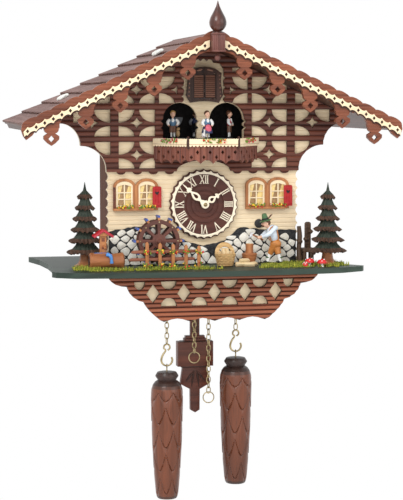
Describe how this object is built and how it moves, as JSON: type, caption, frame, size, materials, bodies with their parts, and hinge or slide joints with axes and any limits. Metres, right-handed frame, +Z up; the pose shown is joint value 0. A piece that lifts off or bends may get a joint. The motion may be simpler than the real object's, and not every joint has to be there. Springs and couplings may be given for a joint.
{
  "type": "cuckoo clock",
  "caption": "Wall-hung chalet cuckoo clock with shingled roof, dancing figures, cuckoo hatch, water wheel, pendulum and chain-hung weights.",
  "frame": {"origin": "on the back panel's flat rear face, on the centre line, 34 mm below the hanging hole", "axes": "+X to the viewer's right, +Y out of the back towards the wall, +Z up"},
  "size_m": [0.3482, 0.2149, 0.464],
  "materials": {
    "light_wood": "sanded light wood, clear matt",
    "red_wood": "red-brown stained, satin",
    "dark_wood": "dark stained, satin",
    "shingle": "weathered stain, matt",
    "stone_paint": "black paint with white stones",
    "platform_paint": "dark green-grey paint, matt",
    "spruce_paint": "dark green and brown stain",
    "honey_wood": "orange-brown stain, satin",
    "figure_paint": "hand-painted wood",
    "brass": "bright wire",
    "black_plastic": "moulded, matt",
    "battery_skin": "plain printed sleeve",
    "steel": "plain"
  },
  "bodies": {
    "case": {"back_panel": "dark_wood", "left_wall": "dark_wood", "right_wall": "dark_wood", "facade_panel": "light_wood", "timber_overlay": "red_wood", "stone_plinth": "stone_paint", "base_platform": "platform_paint", "apron_board": "red_wood", "apron_backing": "light_wood", "roof_board_left": "red_wood", "roof_board_right": "red_wood", "shingles_left": "shingle", "shingles_right": "shingle", "bargeboard_left": "red_wood", "bargeboard_right": "red_wood", "barge_trim_left": "light_wood", "barge_trim_right": "light_wood", "finial_post": "red_wood", "window_left": "honey_wood", "window_right": "honey_wood", "balcony": "red_wood", "balcony_trim": "light_wood", "dial_disc": "dark_wood", "dial_ring": "light_wood", "tree_left": "spruce_paint", "tree_right": "spruce_paint", "fountain": "honey_wood", "fence": "honey_wood", "basket": "honey_wood", "stump": "honey_wood", "log_bench": "dark_wood", "woodcutter": "figure_paint", "movement_housing": "black_plastic", "speaker": "black_plastic", "battery_a": "battery_skin", "battery_b": "battery_skin", "cuckoo_frame": "dark_wood", "cuckoo_guide": "steel"},
    "back_door": {"back_door": "dark_wood"},
    "setting_knob": {"setting_knob": "black_plastic"},
    "sound_switch": {"sound_switch": "black_plastic"},
    "minute_hand": {"minute_hand": "light_wood"},
    "hour_hand": {"hour_hand": "light_wood"},
    "cuckoo_door_left": {"cuckoo_door_left": "dark_wood"},
    "cuckoo_door_right": {"cuckoo_door_right": "dark_wood"},
    "cuckoo": {"cuckoo_bird": "figure_paint"},
    "carousel": {"carousel": "platform_paint", "dancer_boy_dog": "figure_paint", "dancer_girl": "figure_paint", "dancer_boy_red": "figure_paint", "dancer_girl_inside": "figure_paint"},
    "water_wheel": {"water_wheel": "dark_wood"},
    "woodcutter_arms": {"woodcutter_arms": "figure_paint"},
    "pendulum": {"pendulum": "dark_wood"},
    "weight_chain_left": {"weight_chain_left": "brass"},
    "weight_chain_right": {"weight_chain_right": "brass"},
    "weight_left": {"pinecone_weight_left": "dark_wood"},
    "weight_right": {"pinecone_weight_right": "dark_wood"},
    "ring_chain_left": {"ring_chain_left": "brass"},
    "ring_chain_right": {"ring_chain_right": "brass"}
  },
  "joints": [
    {"name": "minute_hand_turn", "type": "hinge", "parent": "case", "child": "minute_hand", "pos_m": [0, -0.1546, -0.0971], "axis": [0, 1, 0], "continuous": true},
    {"name": "hour_hand_turn", "type": "hinge", "parent": "case", "child": "hour_hand", "pos_m": [0, -0.1527, -0.0971], "axis": [0, 1, 0], "continuous": true},
    {"name": "setting_knob_turn", "type": "hinge", "parent": "case", "child": "setting_knob", "pos_m": [0, -0.1217, -0.0971], "axis": [0, 1, 0], "continuous": true},
    {"name": "carousel_turn", "type": "hinge", "parent": "case", "child": "carousel", "pos_m": [0, -0.136, -0.036], "axis": [0, 0, 1], "continuous": true},
    {"name": "water_wheel_turn", "type": "hinge", "parent": "case", "child": "water_wheel", "pos_m": [-0.0465, -0.1645, -0.129], "axis": [0, 1, 0], "continuous": true},
    {"name": "cuckoo_slide", "type": "slide", "parent": "case", "child": "cuckoo", "axis": [0, -1, 0], "range_m": [0, 0.025]},
    {"name": "cuckoo_door_left_hinge", "type": "hinge", "parent": "case", "child": "cuckoo_door_left", "pos_m": [-0.0109, -0.1519, 0.01235], "axis": [0, 0, -1], "range_deg": [0, 95]},
    {"name": "cuckoo_door_right_hinge", "type": "hinge", "parent": "case", "child": "cuckoo_door_right", "pos_m": [0.0109, -0.1519, 0.01235], "axis": [0, 0, 1], "range_deg": [0, 95]},
    {"name": "pendulum_swing", "type": "hinge", "parent": "case", "child": "pendulum", "pos_m": [0, -0.105, -0.118], "axis": [0, 1, 0], "range_deg": [-6, 6]},
    {"name": "weight_chain_left_swing", "type": "hinge", "parent": "case", "child": "weight_chain_left", "pos_m": [-0.0333, -0.137, -0.1516], "axis": [-1, 0, 0], "range_deg": [-1.5, 12]},
    {"name": "weight_chain_right_swing", "type": "hinge", "parent": "case", "child": "weight_chain_right", "pos_m": [0.0333, -0.137, -0.1516], "axis": [-1, 0, 0], "range_deg": [-1.5, 12]},
    {"name": "weight_left_swing", "type": "hinge", "parent": "weight_chain_left", "child": "weight_left", "pos_m": [-0.0333, -0.137, -0.249], "axis": [-1, 0, 0], "range_deg": [-3, 10]},
    {"name": "weight_right_swing", "type": "hinge", "parent": "weight_chain_right", "child": "weight_right", "pos_m": [0.0333, -0.137, -0.2374], "axis": [-1, 0, 0], "range_deg": [-3, 10]},
    {"name": "ring_chain_left_swing", "type": "hinge", "parent": "case", "child": "ring_chain_left", "pos_m": [-0.0069, -0.137, -0.1516], "axis": [-1, 0, 0], "range_deg": [-1.5, 12]},
    {"name": "ring_chain_right_swing", "type": "hinge", "parent": "case", "child": "ring_chain_right", "pos_m": [0.0069, -0.137, -0.1516], "axis": [-1, 0, 0], "range_deg": [-1.5, 12]},
    {"name": "woodcutter_arms_lift", "type": "hinge", "parent": "case", "child": "woodcutter_arms", "pos_m": [0.064, -0.163, -0.1185], "axis": [0, 1, 0], "range_deg": [0, 35]},
    {"name": "back_door_hinge", "type": "hinge", "parent": "case", "child": "back_door", "pos_m": [-0.0397, 0, -0.0815], "axis": [0, 0, 1], "range_deg": [0, 110]},
    {"name": "sound_switch_slide", "type": "slide", "parent": "case", "child": "sound_switch", "axis": [0, 0, 1], "range_m": [-0.0035, 0.0035]}
  ],
  "couplings": [
    {"joint": "hour_hand_turn", "follows": "minute_hand_turn", "ratio": 0.083333},
    {"joint": "setting_knob_turn", "follows": "minute_hand_turn", "ratio": 1},
    {"joint": "water_wheel_turn", "follows": "carousel_turn", "ratio": 2},
    {"joint": "cuckoo_door_left_hinge", "follows": "cuckoo_slide", "rad_per_m": 66},
    {"joint": "cuckoo_door_right_hinge", "follows": "cuckoo_slide", "rad_per_m": 66}
  ]
}
